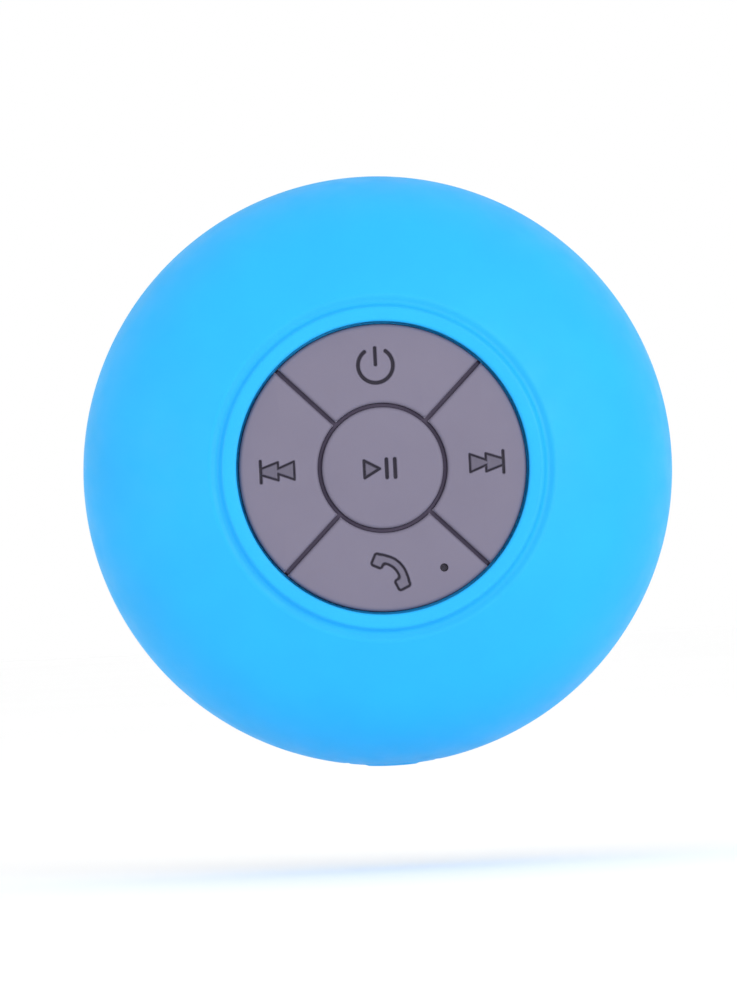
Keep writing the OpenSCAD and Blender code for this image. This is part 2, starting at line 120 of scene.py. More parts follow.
# the keypad
PAD_R = 21.0
COLLAR_R = 24.0
KEY_OUT_R = next_high[0]
MIDDLE_R = play_high[0]
GROOVE = 0.6
KEY_BACK = KEY_TOP - 1.6
KEY_EDGE = 0.55
KEY_STEP = 0.085
PLUNGER_R = 2.0
PLUNGER_Z = play_low[2]
KEY_REACH = 14.7
KEY_SPOTS = ((0, KEY_REACH), (-KEY_REACH, 0), (0, 0), (KEY_REACH, 0), (0, -KEY_REACH))
MIC_SPOT = ((mic_low[0] + mic_high[0]) / 2, (mic_low[1] + mic_high[1]) / 2)
MIC_R = 0.6

# the charging port and its flap
PORT_Z = 27.0
WINDOW_W = 13.4
WINDOW_H = 9.3
FLAP_T = 1.7
FLAP_ROLL_R = 0.9
PORT_PIT = 5.2
PORT_DEPTH = 4.8

# the rear cover, the stud and the screws
COVER_TOP = REAR_Z + SKIN_T + 0.1
SHANK_R = 4.0
SOCKET_TOP = COVER_TOP + 2.2
EAR_RING = 22.3
SCREW_RING = 29.6
CORNERS = (45, 135, 225, 315)


# ---- camera ----

def linked(name, data):
    """A new object in the scene."""
    item = bpy.data.objects.new(name, data)
    bpy.context.scene.collection.objects.link(item)
    return item


def make_camera():
    """A long lens almost square to the keypad, a little from the left and from below."""
    distance = 1.1
    lens = 270.0
    shift = (-0.0094, -0.0313)
    azimuth, elevation, roll = np.radians([-1.9, -1.0, -2.8]).tolist()
    target = Vector((0.0, -MID_Z * MM, 0.0))
    back = Vector((
        math.sin(azimuth) * math.cos(elevation),
        -math.cos(azimuth) * math.cos(elevation),
        math.sin(elevation),
    ))
    camera = linked("camera", bpy.data.cameras.new("camera"))
    camera.data.lens = lens
    camera.data.shift_x, camera.data.shift_y = shift
    camera.data.clip_start, camera.data.clip_end = 0.05, 20.0
    camera.rotation_mode = "QUATERNION"
    camera.location = target + back * distance
    aim = (-back).to_track_quat("-Z", "Y")
    camera.rotation_quaternion = aim @ Quaternion((0, 0, 1), roll)
    bpy.context.scene.camera = camera


make_camera()


# ---- mesh helpers ----

def to_frame(points):
    """Millimetres on the wall plane to metres in the frame."""
    p = np.asarray(points, float) * MM
    return np.stack([p[:, 0], -p[:, 2], p[:, 1]], axis=1)


@contextmanager
def opened(mesh):
    """A mesh open for editing, written back at the end."""
    bm = bmesh.new()
    bm.from_mesh(mesh)
    yield bm
    bm.to_mesh(mesh)
    bm.free()


def soften(mesh, limit=32):
    """Smooth shading, except over edges sharper than limit degrees."""
    with opened(mesh) as bm:
        for face in bm.faces:
            face.smooth = True
        for edge in bm.edges:
            if len(edge.link_faces) == 2:
                edge.smooth = edge.calc_face_angle() < math.radians(limit)


def sharp_edges(bm, degrees):
    """The edges that turn by more than an angle."""
    return [e for e in bm.edges if len(e.link_faces) == 2 and e.calc_face_angle() > math.radians(degrees)]


def round_edges(bm, edges, radius, segments=2, clamp=False):
    """Rounds edges to a radius in millimetres."""
    bmesh.ops.bevel(
        bm, geom=edges, offset=radius * MM, segments=segments, profile=0.5, affect="EDGES",
        clamp_overlap=clamp,
    )


def new_piece(name, points, faces, limit=32):
    """A mesh object from millimetre points."""
    mesh = bpy.data.meshes.new(name)
    mesh.from_pydata(to_frame(points).tolist(), [], faces)
    mesh.update()
    piece = linked(name, mesh)
    with opened(mesh) as bm:
        bmesh.ops.recalc_face_normals(bm, faces=bm.faces)
    soften(mesh, limit)
    return piece


def arc(x, z, r, start, end, steps):
    """Points on a circle from one angle to another, in degrees from +x."""
    turns = np.radians(np.linspace(start, end, steps + 1))
    return [(x + r * math.cos(t), z + r * math.sin(t)) for t in turns]


def fillet(corners, steps=5):
    """An outline from corners (x, z, radius), each rounded by its radius."""
    outline = []
    count = len(corners)
    for i, (x, z, r) in enumerate(corners):
        here = np.array([x, z], float)
        if r <= 0:
            outline.append((x, z))
            continue
        before = np.array(corners[i - 1][:2], float) - here
        after = np.array(corners[(i + 1) % count][:2], float) - here
        before /= np.linalg.norm(before)
        after /= np.linalg.norm(after)
        half = math.acos(max(-1.0, min(1.0, float(before @ after)))) / 2
        run = r / math.tan(half)
        centre = here + (before + after) / np.linalg.norm(before + after) * r / math.sin(half)
        first = here + before * run - centre
        last = here + after * run - centre
        start = math.atan2(first[1], first[0])
        sweep = (math.atan2(last[1], last[0]) - start + math.pi) % (2 * math.pi) - math.pi
        for k in range(steps + 1):
            t = start + sweep * k / steps
            outline.append((centre[0] + r * math.cos(t), centre[1] + r * math.sin(t)))
    return outline


def wall(one, two):
    """The faces between two rings of points, each given as point numbers."""
    return np.stack([one, np.roll(one, -1), np.roll(two, -1), two], axis=-1).tolist()


def lathe_data(outline, turns):
    """Points and faces of a closed outline (r, z) spun round the middle axis."""
    points = []
    faces = []
    rings = []
    angles = np.linspace(0, 2 * math.pi, turns, endpoint=False)
    for r, z in outline:
        start = len(points)
        if r < 1e-6:
            points.append((0.0, 0.0, z))
            rings.append([start] * turns)
        else:
            points += [(r * math.cos(a), r * math.sin(a), z) for a in angles]
            rings.append(list(range(start, start + turns)))
    for one, two in zip(rings, rings[1:] + rings[:1]):
        for corners in wall(one, two):
            face = [c for k, c in enumerate(corners) if c != corners[k - 1]]
            if len(face) > 2:
                faces.append(face)
    return points, faces


def lathe(name, outline, turns=192, limit=32, spot=(0, 0)):
    """A piece spun from a closed outline (r, z) round an axis at spot."""
    points, faces = lathe_data(outline, turns)
    return new_piece(name, np.array(points) + (*spot, 0), faces, limit)


def prism_data(outline, z0, z1):
    """Points and faces of an outline (x, y) between two heights."""
    points = [(x, y, z0) for x, y in outline] + [(x, y, z1) for x, y in outline]
    low, high = np.arange(len(points)).reshape(2, -1)
    return points, [low[::-1].tolist(), high.tolist(), *wall(low, high)]


def rounded_box(name, low, high, edge, segments=2):
    """A box between two corners with its edges rounded."""
    (x0, y0, z0), (x1, y1, z1) = low, high
    piece = new_piece(name, *prism_data([(x0, y0), (x1, y0), (x1, y1), (x0, y1)], z0, z1))
    with opened(piece.data) as bm:
        round_edges(bm, bm.edges[:], edge, segments)
    soften(piece.data)
    return piece


def boolean(piece, cutters, operation="DIFFERENCE"):
    """Cuts pieces out of another, or adds them to it, and removes them."""
    for cutter in cutters:
        step = piece.modifiers.new("cut", "BOOLEAN")
        step.operation = operation
        step.solver = "EXACT"
        step.object = cutter
    bake(piece)
    for cutter in cutters:
        bpy.data.objects.remove(cutter)
    return piece


def bake(piece):
    """Applies a piece's modifiers."""
    bpy.context.view_layer.update()
    depsgraph = bpy.context.evaluated_depsgraph_get()
    mesh = bpy.data.meshes.new_from_object(piece.evaluated_get(depsgraph))
    piece.modifiers.clear()
    old = piece.data
    piece.data = mesh
    bpy.data.meshes.remove(old)
    mesh.name = piece.name
    soften(mesh)


def join(name, parts):
    """One mesh object from several."""
    mesh = bpy.data.meshes.new(name)
    with opened(mesh) as bm:
        for part in parts:
            bm.from_mesh(part.data)
    for part in parts:
        bpy.data.objects.remove(part)
    soften(mesh)
    return linked(name, mesh)


def disc(x, y, z0, z1, r, sides=48):
    """A plain cylinder, used to cut or to build up."""
    return new_piece("disc", *prism_data(arc(x, y, r, 0, 360, sides)[:-1], z0, z1))


def turned(outline, angle):
    """An outline turned round the middle by an angle in radians."""
    c, s = math.cos(angle), math.sin(angle)
    return [(x * c - y * s, x * s + y * c) for x, y in outline]


def grid_faces(rows, cols):
    """The faces of a grid of points, and the points round its rim in order."""
    index = np.arange(rows * cols).reshape(rows, cols)
    quads = np.stack([index[:-1, :-1], index[1:, :-1], index[1:, 1:], index[:-1, 1:]], axis=-1)
    rim = np.concatenate([index[0, :-1], index[:-1, -1], index[-1, :0:-1], index[:0:-1, 0]])
    return quads.reshape(-1, 4), rim


def finish_piece(piece, body, slot, *nodes):
    """Gives a piece its body and its material, and hides the nodes it stands for."""
    piece.data.materials.clear()
    piece.data.materials.append(MATERIALS[slot])
    if body:
        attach(piece, body)
    if nodes:
        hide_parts(*nodes)
    return piece


def smoothstep(edge0, edge1, value):
    """0 before edge0, 1 after edge1 and a smooth curve between."""
    t = np.clip((value - edge0) / (edge1 - edge0), 0, 1)
    return t * t * (3 - 2 * t)


# ---- materials ----

def linear(red, green, blue):
    """A colour from its display values, 0 to 255."""
    values = np.array([red, green, blue]) / 255
    low = values / 12.92
    high = ((values + 0.055) / 1.055) ** 2.4
    return (*np.where(values <= 0.04045, low, high).tolist(), 1.0)


class Finish:
    """Builds one material's nodes round a Principled shader."""

    def __init__(self, name, roughness=0.5, metallic=0.0, specular=0.5):
        self.material = bpy.data.materials.new(name)
        self.material.use_nodes = True
        self.nodes = self.material.node_tree.nodes
        self.links = self.material.node_tree.links
        self.shader = self.nodes["Principled BSDF"]
        self.set("Roughness", roughness).set("Metallic", metallic).set("Specular IOR Level", specular)
        self.place = self.nodes.new("ShaderNodeTexCoord").outputs["Object"]
        self.normal = None

    def set(self, socket, value):
        self.shader.inputs[socket].default_value = value
        return self

    def feed(self, socket, value):
        """Links a socket to another, or sets it to a value."""
        if isinstance(value, bpy.types.NodeSocket):
            self.links.new(value, socket)
        else:
            socket.default_value = value

    def add(self, kind, **inputs):
        """A new node with its inputs fed."""
        node = self.nodes.new("ShaderNode" + kind)
        for name, value in inputs.items():
            self.feed(node.inputs[name], value)
        return node

    def noise(self, scale, detail=3.0, rough=0.5, stretch=None):
        """Noise in the object's own coordinates; scale is in cycles per metre."""
        place = self.place
        if stretch is not None:
            place = self.add("Mapping", Scale=stretch, Vector=place).outputs["Vector"]
        return self.add("TexNoise", Scale=scale, Detail=detail, Roughness=rough, Vector=place).outputs["Fac"]

    def math(self, operation, *values):
        node = self.nodes.new("ShaderNodeMath")
        node.operation = operation
        for socket, value in zip(node.inputs, values):
            self.feed(socket, value)
        return node.outputs[0]

    def remap(self, value, low, high, to_low, to_high):
        node = self.nodes.new("ShaderNodeMapRange")
        for socket, number in zip(node.inputs[1:5], (low, high, to_low, to_high)):
            socket.default_value = number
        self.links.new(value, node.inputs[0])
        return node.outputs[0]

    def mix(self, factor, one, two):
        """A blend of two colours, each a colour or a socket."""
        node = self.nodes.new("ShaderNodeMix")
        node.data_type = "RGBA"
        self.links.new(factor, node.inputs["Factor"])
        self.feed(node.inputs[6], one)
        self.feed(node.inputs[7], two)
        return node.outputs[2]

    def attribute(self, name):
        node = self.nodes.new("ShaderNodeAttribute")
        node.attribute_name = name
        return node.outputs["Fac"]

    def split(self):
        return self.add("SeparateXYZ", Vector=self.place).outputs

    def colour(self, socket):
        self.links.new(socket, self.shader.inputs["Base Color"])
        return self

    def vary_roughness(self, fac, low, high):
        self.links.new(self.remap(fac, 0.3, 0.7, low, high), self.shader.inputs["Roughness"])
        return self

    def bump(self, height, distance, strength=1.0):
        """Adds relief; distance is in metres, and calls stack."""
        node = self.add("Bump", Distance=distance, Strength=strength, Height=height)
        if self.normal is not None:
            self.links.new(self.normal, node.inputs["Normal"])
        self.normal = node.outputs["Normal"]
        self.links.new(self.normal, self.shader.inputs["Normal"])
        return self


def tinted(finish, colour, spread, scale):
    """Base colour that drifts a little, lighter and darker, over the piece."""
    dark = tuple(c * (1 - spread) for c in colour[:3]) + (1.0,)
    light = tuple(min(1.0, c * (1 + spread)) for c in colour[:3]) + (1.0,)
    fac = finish.remap(finish.noise(scale), 0.35, 0.65, 0.0, 1.0)
    return finish.mix(fac, dark, light)


def silicone(name, colour, roughness, specular, spread=0.04):
    """Soft moulded silicone: matte, with a very fine mould texture and faint dusty patches."""
    f = Finish(name, roughness, specular=specular)
    f.colour(tinted(f, colour, spread, 90))
    f.vary_roughness(f.noise(260, 4), roughness - 0.06, roughness + 0.08)
    f.bump(f.noise(9000, 2), 0.00001, 0.5)
    f.bump(f.noise(420, 3), 0.00004, 0.35)
    return f


def moulded(name, colour, roughness, spread=0.06, grain=3500, depth=0.00002):
    """Injection-moulded plastic with a fine spark texture."""
    f = Finish(name, roughness)
    f.colour(tinted(f, colour, spread, 140))
    f.vary_roughness(f.noise(500, 4), roughness - 0.07, roughness + 0.1)
    f.bump(f.noise(grain, 3), depth, 0.6)
    return f


def metal(name, colour, roughness, brush=None):
    """Metal with fine brushed or tumbled marks."""
    f = Finish(name, roughness, metallic=1.0)
    f.colour(tinted(f, colour, 0.08, 300))
    f.vary_roughness(f.noise(900, 5, stretch=brush), roughness - 0.08, roughness + 0.14)
    f.bump(f.noise(4000, 4, stretch=brush), 0.000008, 0.6)
    return f


def blue_silicone():
    f = silicone("blue_silicone", (0.015, 0.395, 0.84, 1.0), 0.5, 0.22, 0.02)
    f.set("Subsurface Weight", 0.08).set("Subsurface Radius", (0.0004, 0.001, 0.0016))
    return f.material


def key_silicone():
    """Grey-violet silicone; darker in the engraved icon strokes and a little darker inside the outlined icons,
    from the icon_dark attribute.
    """
    f = Finish("key_silicone", 0.58, specular=0.3)
    body = tinted(f, linear(112, 107, 126), 0.015, 60)
    icon_dark = f.mix(f.noise(2500, 3), linear(25, 21, 36), linear(36, 30, 47))
    f.colour(f.mix(f.attribute("icon_dark"), body, icon_dark))
    f.vary_roughness(f.noise(300, 4), 0.52, 0.66)
    f.bump(f.noise(7000, 2), 0.000012, 0.5)
    return f.material


def clear_cup():
    f = Finish("clear_cup", 0.16)
    f.colour(tinted(f, (0.86, 0.95, 0.98, 1.0), 0.02, 120))
    f.set("Transmission Weight", 0.86).set("IOR", 1.5)
    f.vary_roughness(f.noise(180, 4), 0.12, 0.26)
    f.bump(f.noise(700, 3), 0.00003, 0.35)
    return f.material


def green_board():
    """Solder mask over copper tracks, with a fine fibre weave under it."""
    f = Finish("green_board", 0.32)
    tracks = f.add("TexBrick", Scale=380, Vector=f.place)
    tracks.inputs["Mortar Size"].default_value = 0.06
    copper = f.remap(tracks.outputs["Fac"], 0, 1, 1, 0)
    f.colour(f.mix(copper, linear(16, 74, 44), linear(30, 112, 62)))
    f.vary_roughness(f.noise(800), 0.26, 0.42)
    f.bump(copper, 0.00003, 0.5)
    f.bump(f.noise(6000, 2), 0.000006, 0.5)
    return f.material


def woven(name, pitch, dark, light):
    """Fine cloth: two sets of threads crossed, pitch metres apart."""
    f = Finish(name, 0.82, specular=0.22)
    x, _, z = f.split()
    threads = 2 * math.pi / pitch
    across = f.math("SINE", f.math("MULTIPLY", x, threads))
    along = f.math("SINE", f.math("MULTIPLY", z, threads))
    weave = f.math("MULTIPLY", across, along)
    f.colour(f.mix(f.remap(weave, -0.5, 0.5, 0, 1), dark, light))
    f.vary_roughness(f.noise(900), 0.76, 0.9)
    f.bump(weave, 0.00007, 0.8)
    return f.material


def copper():
    """Enamelled wire wound round the coil, its turns bumped, with painted shade between the turns and a painted
    highlight along each turn.
    """
    f = Finish("copper", 0.28, metallic=1.0)
    wire_pitch = 0.00022
    turn_relief_and_shade = f.math("SINE", f.math("MULTIPLY", f.split()[1], 2 * math.pi / wire_pitch))
    # painted shade and highlight: dark copper in the troughs between turns, light copper on their crests
    f.colour(f.mix(f.remap(turn_relief_and_shade, -1, 1, 0, 1), linear(120, 58, 26), linear(214, 124, 70)))
    f.vary_roughness(f.noise(1200), 0.24, 0.4)
    f.bump(turn_relief_and_shade, 0.00004, 0.9)
    return f.material


def lamp():
    f = Finish("lamp", 0.3)
    f.colour(tinted(f, (0.86, 0.9, 0.84, 1.0), 0.05, 900))
    f.vary_roughness(f.noise(2000), 0.24, 0.4)
    f.set("Subsurface Weight", 0.3).set("Subsurface Radius", (0.0006, 0.0006, 0.0006))
    return f.material


def foam():
    f = Finish("foam", 0.95, specular=0.15)
    f.colour(tinted(f, linear(38, 38, 42), 0.35, 1500))
    f.vary_roughness(f.noise(1500), 0.9, 1.0)
    f.bump(f.noise(2600, 4, 0.7), 0.00025, 0.9)
    return f.material


def cell_foil():
    f = metal("cell_foil", linear(196, 200, 206), 0.34, (1.0, 1.0, 6.0))
    f.bump(f.noise(160, 3), 0.0002, 0.5)
    return f.material


MATERIALS = {
    "blue_silicone": blue_silicone(),
    "key_silicone": key_silicone(),
    # the keypad mat: its own violet-grey, darkened below the keys' colour as painted shade for the grooves between
    # the keys
    "mat_silicone": silicone("mat_silicone", linear(70, 62, 82), 0.6, 0.25).material,
    "clear_cup": clear_cup(),
    "green_board": green_board(),
    "mesh_cloth": woven("mesh_cloth", 0.00042, linear(12, 13, 15), linear(56, 58, 62)),
    "mic_cloth": woven("mic_cloth", 0.0003, linear(52, 48, 58), linear(84, 80, 92)),
    "spider_cloth": woven("spider_cloth", 0.0005, linear(150, 92, 34), linear(205, 148, 72)),
    "copper": copper(),
    "lamp": lamp(),
    "foam": foam(),
    "cell_foil": cell_foil(),
}

# colour and roughness, then the colour's spread and the texture's grain and depth where they differ
MOULDED = {
    "white_plastic": (linear(222, 224, 226), 0.36),
    "dark_shell": (linear(52, 54, 60), 0.5),
    "rear_plastic": (linear(38, 42, 48), 0.46, 0.06, 2600, 0.00004),
    "black_rubber": (linear(26, 27, 30), 0.72),
    "switch_plastic": (linear(196, 192, 184), 0.42),
    "chip_black": (linear(30, 31, 34), 0.55, 0.06, 5000),
    "cone_film": (linear(70, 72, 78), 0.5, 0.1, 1800, 0.00003),
    "wire_red": (linear(176, 30, 34), 0.45),
    "wire_blue": (linear(36, 76, 170), 0.45),
    "ferrite": (linear(44, 44, 48), 0.62, 0.15, 1600, 0.00006),
}

# colour and roughness, then the stretch of the brushed marks where there are any
METALS = {
    "gold": (linear(222, 178, 96), 0.26),
    "steel": (linear(190, 192, 196), 0.28),
    "shield_can": (linear(182, 186, 188), 0.38, (1.0, 1.0, 8.0)),
    "port_metal": (linear(186, 188, 192), 0.3, (6.0, 1.0, 1.0)),
    "basket_metal": (linear(96, 99, 104), 0.45),
    "plated_metal": (linear(178, 182, 176), 0.33),
}
MATERIALS.update({name: moulded(name, *values).material for name, values in MOULDED.items()})
MATERIALS.update({name: metal(name, *values).material for name, values in METALS.items()})


def paint_frame():
    """Every carried-over node takes the material of its slot in the record."""
    for part in frame["record"]["subparts"]:
        node = frame["nodes"][part["node"]]
        node.data.materials.clear()
        node.data.materials.append(MATERIALS[part["material_slot"]])


paint_frame()


# ---- body ----

def silicone_skin():
    """The soft blue cover, with its raised collar."""
    lip_r = 33.0
    seat_r = 22.4
    foot_r = COLLAR_R - 0.4
    cap_start = math.degrees(CAP_TURN)
    foot_turn = math.degrees(math.acos(foot_r / CAP_R))
    outer_lip = -math.degrees(math.acos((lip_r - REAR_X) / REAR_EDGE_R))
    outer = arc(REAR_X, MID_Z, REAR_EDGE_R, outer_lip, 0, 40)
    outer += arc(SHOULDER_X, MID_Z, SHOULDER_R, 0, cap_start, 32)[1:]
    outer += arc(0, CAP_Z, CAP_R, cap_start, foot_turn, 24)[1:-3]
    foot_z = CAP_Z + math.sqrt(CAP_R**2 - foot_r**2)
    seat_z = mat_high[2] + 0.1
    near_key = KEY_OUT_R + 0.07
    crest = fillet([
        (*outer[-2], 0),
        (*outer[-1], 1.2),
        (foot_r, foot_z - 0.8, 0.7),
        (foot_r - 0.6, CREST_Z, 0.5),
        (PAD_R, CREST_Z - 0.05, 0.45),
        (PAD_R, seat_z + 0.25, 0.1),
        (near_key, seat_z + 0.25, 0.1),
        (near_key, seat_z, 0.1),
        (seat_r, seat_z, 0),
    ], 7)[1:]
    inner_end = math.degrees(math.acos(seat_r / (CAP_R - SKIN_T)))
    inner_rear = REAR_EDGE_R - SKIN_T
    inner = arc(0, CAP_Z, CAP_R - SKIN_T, inner_end, cap_start, 16)
    inner += arc(SHOULDER_X, MID_Z, SHOULDER_R - SKIN_T, cap_start, 0, 20)[1:]
    inner_lip = -math.degrees(math.acos((lip_r - REAR_X) / inner_rear))
    inner += arc(REAR_X, MID_Z, inner_rear, 0, inner_lip, 24)[1:]
    return lathe("silicone_skin_cover", outer[:-1] + crest + inner, 360, limit=40)


skin = silicone_skin()
finish_piece(skin, "housing", "blue_silicone", "silicone_skin")


# ---- keys ----

def spaced(length, edge, step, curve=7):
    """Places along a line, closer together where both ends are rounded."""
    near = edge * (1 - np.cos(np.linspace(0, RIGHT_ANGLE, curve)))
    count = max(2, int(round((length - 2 * edge) / step)))
    middle = np.linspace(edge, length - edge, count + 1)[1:-1]
    return np.concatenate([near, middle, length - near[::-1]])


def segment_distance(x, y, x0, y0, x1, y1):
    """Distance from points to a straight stroke."""
    dx, dy = x1 - x0, y1 - y0
    t = np.clip(((x - x0) * dx + (y - y0) * dy) / (dx * dx + dy * dy), 0, 1)
    return np.hypot(x - x0 - t * dx, y - y0 - t * dy)


def arc_distance(x, y, r, gap):
    """Distance to an arc round the middle, open by gap degrees either side of the top."""
    half = math.radians(gap)
    turn = np.abs(np.arctan2(x, y))
    end_x, end_y = r * math.sin(half), r * math.cos(half)
    on_arc = np.abs(np.hypot(x, y) - r)
    at_end = np.hypot(np.abs(x) - end_x, y - end_y)
    return np.where(turn > half, on_arc, at_end)


def outline_distance(x, y, corners):
    """Distance to the sides of a closed outline, and whether each point is inside it."""
    far = np.full_like(x, 1e9)
    inside = np.zeros_like(x, bool)
    for (x0, y0), (x1, y1) in zip(corners, corners[1:] + corners[:1]):
        far = np.minimum(far, segment_distance(x, y, x0, y0, x1, y1))
        crosses = ((y0 > y) != (y1 > y)) & (x < (x1 - x0) * (y - y0) / (y1 - y0 + 1e-12) + x0)
        inside ^= crosses
    return far, inside


def power_icon(x, y):
    """A ring open at the top with a bar in the gap."""
    ring = arc_distance(x, y, 2.5, 37) - 0.25
    bar = segment_distance(x, y, 0, 0.1, 0, 2.5) - 0.23
    return np.minimum(ring, bar), np.zeros_like(x)


def skip_icon(x, y):
    """Two arrowheads that point right, run together, up against a bar."""
    shape = np.full_like(x, 1e9)
    near_head = [(-2.3, -1.3), (0.95, 0.0), (-2.3, 1.3)]
    far_head = [(0.0, -1.3), (2.45, -0.45), (2.45, 0.45), (0.0, 1.3)]
    for corners in (near_head, far_head):
        far, inside = outline_distance(x, y, corners)
        shape = np.minimum(shape, np.where(inside, -far, far))
    bar = segment_distance(x, y, 2.5, -1.55, 2.5, 1.55) - 0.2
    return np.minimum(np.abs(shape) - 0.14, bar), (shape < 0).astype(float)


def play_icon(x, y):
    """An arrowhead and the two bars of a pause sign."""
    far, inside = outline_distance(x, y, [(-2.12, -1.25), (0.1, 0.0), (-2.12, 1.25)])
    strokes = far - 0.18
    for bar in (1.1, 2.3):
        strokes = np.minimum(strokes, segment_distance(x, y, bar, -1.3, bar, 1.3) - 0.25)
    return strokes, inside.astype(float)


def blended(one, two, width):
    """The nearer of two distances, with a smooth join of the given width."""
    share = np.clip(0.5 + 0.5 * (two - one) / width, 0, 1)
    return two * (1 - share) + one * share - width * share * (1 - share)


def call_icon(x, y):
    """A telephone handset, drawn as an outline on a diagonal."""
    turn = math.radians(45)
    u = x * math.cos(turn) - y * math.sin(turn)
    v = x * math.sin(turn) + y * math.cos(turn)
    bow_r, bow_drop, half_t = 3.3, 2.1, 0.55
    spread = math.radians(40)
    angle = np.clip(np.arctan2(u, v + bow_drop), -spread, spread)
    shape = np.hypot(u - bow_r * np.sin(angle), v + bow_drop - bow_r * np.cos(angle)) - half_t
    for side in (-1, 1):
        tilt = side * math.radians(20)
        du = u - side * 2.35
        dv = v + 0.1
        a = np.abs(du * math.cos(tilt) - dv * math.sin(tilt)) - 0.45
        b = np.abs(du * math.sin(tilt) + dv * math.cos(tilt)) - 0.55
        lobe = np.hypot(np.maximum(a, 0), np.maximum(b, 0)) + np.minimum(np.maximum(a, b), 0) - 0.35
        shape = blended(shape, lobe, 0.45)
    return np.abs(shape) - 0.16, (shape < 0).astype(float) * 0.6


def key_surface(x, y, edge_gap, icon, icon_spot, flip):
    """Height of a key's top, with rounded edges, a slight crown and an engraved icon, and how much darker its
    colour is at each point.
    """
    round_off = np.clip(edge_gap, 0, KEY_EDGE)
    drop = KEY_EDGE - np.sqrt(np.maximum(KEY_EDGE**2 - (KEY_EDGE - round_off) ** 2, 0))
    rise = 0.12
    crown = rise * smoothstep(0.0, 5.0, edge_gap)
    strokes, fill = icon((x - icon_spot[0]) * flip, y - icon_spot[1])
    cut = 1 - smoothstep(-0.07, 0.07, strokes)
    halo = 0.035 * np.exp(-(((strokes - 0.22) / 0.14) ** 2))
    engraving = 0.26
    height = KEY_TOP - rise - drop + crown - engraving * cut + halo * (strokes > 0)
    icon_dark = np.maximum(cut, 0.38 * fill * smoothstep(-0.02, 0.05, strokes))
    return height, icon_dark


def key_mesh(name, x, y, z, icon_dark):
    """A key from a grid of top points: its top, its sides and its flat back."""
    quads, rim = grid_faces(*x.shape)
    faces = quads.tolist()
    points = np.stack([x.ravel(), y.ravel(), z.ravel()], axis=1)
    last = rim
    for level in (KEY_BACK + 0.25, KEY_BACK):
        fresh = np.arange(len(points), len(points) + len(rim))
        ring = points[rim].copy()
        ring[:, 2] = level
        points = np.vstack([points, ring])
        faces += wall(last, fresh)
        last = fresh
    faces.append(last.tolist())
    piece = new_piece(name, points, faces, limit=50)
    values = np.zeros(len(points), np.float32)
    values[: icon_dark.size] = icon_dark.ravel()
    piece.data.attributes.new("icon_dark", "FLOAT", "POINT").data.foreach_set("value", values)
    return piece


def plunger(spot):
    """The stalk under a key, with the wider foot that keeps it in the mat."""
    outline = fillet([
        (0, PLUNGER_Z, 0), (2.8, PLUNGER_Z, 0.12), (2.8, PLUNGER_Z + 0.4, 0.12),
        (PLUNGER_R, PLUNGER_Z + 0.4, 0.1), (PLUNGER_R, KEY_BACK + 0.02, 0), (0, KEY_BACK + 0.02, 0),
    ], 3)
    return lathe("plunger", outline, 48, spot=spot)


def outer_key(name, turn, icon, spot, flip=1):
    """One quarter of the ring of keys, with its middle at turn degrees."""
    inner = MIDDLE_R + GROOVE
    radii = inner + spaced(KEY_OUT_R - inner, KEY_EDGE, KEY_STEP)
    mean = (inner + KEY_OUT_R) / 2
    share = spaced(mean * RIGHT_ANGLE, KEY_EDGE, KEY_STEP) / (mean * RIGHT_ANGLE)
    r, s = np.meshgrid(radii, share, indexing="ij")
    half = math.pi / 4 - np.arcsin(GROOVE / 2 / r)
    a = (2 * s - 1) * half
    side = r * np.sin(math.pi / 4 - np.abs(a)) - GROOVE / 2
    ends = np.minimum(r - inner, KEY_OUT_R - r)
    near_side = np.maximum(KEY_EDGE - side, 0)
    near_end = np.maximum(KEY_EDGE - ends, 0)
    corner = KEY_EDGE - np.hypot(near_side, near_end)
    gap = np.where((near_side > 0) & (near_end > 0), corner, np.minimum(side, ends))
    direction = a + math.radians(turn)
    x, y = r * np.cos(direction), r * np.sin(direction)
    z, icon_dark = key_surface(x, y, gap, icon, spot, flip)
    return key_mesh(name, x, y, z, icon_dark)


def middle_key():
    """The round key, on a square grid bent into a disc."""
    line = spaced(2 * MIDDLE_R, KEY_EDGE, KEY_STEP) / MIDDLE_R - 1
    u, v = np.meshgrid(line, line, indexing="ij")
    wide = np.abs(u) >= np.abs(v)
    big = np.where(wide, u, v)
    small = np.where(wide, v, u)
    angle = np.where(big == 0, 0, small / np.where(big == 0, 1, big)) * math.pi / 4
    r = np.abs(big) * MIDDLE_R
    along, across = np.sign(big) * r * np.cos(angle), np.sign(big) * r * np.sin(angle)
    x = np.where(wide, along, across)
    y = np.where(wide, across, along)
    z, icon_dark = key_surface(x, y, MIDDLE_R - r, play_icon, (-0.55, -0.12), 1)
    return key_mesh("key_play_top", x, y, z, icon_dark)


def make_keys():
    """The five keys, each with its plunger."""
    tops = {
        "power": outer_key("key_power_top", 90, power_icon, (-0.35, KEY_REACH)),
        "previous": outer_key("key_previous_top", 180, skip_icon, (-15.0, 0.2), -1),
        "play": middle_key(),
        "next": outer_key("key_next_top", 0, skip_icon, (14.8, 0.05)),
        "call": outer_key("key_call_top", 270, call_icon, (0.45, -14.9)),
    }
    for (key, top), spot in zip(tops.items(), KEY_SPOTS):
        if key == "call":
            boolean(top, [disc(*MIC_SPOT, KEY_BACK - 1, KEY_TOP + 1, MIC_R)])
        piece = join("key_" + key + "_cap", [top, plunger(spot)])
        finish_piece(piece, key + "_key", "key_silicone", "key_" + key)


make_keys()


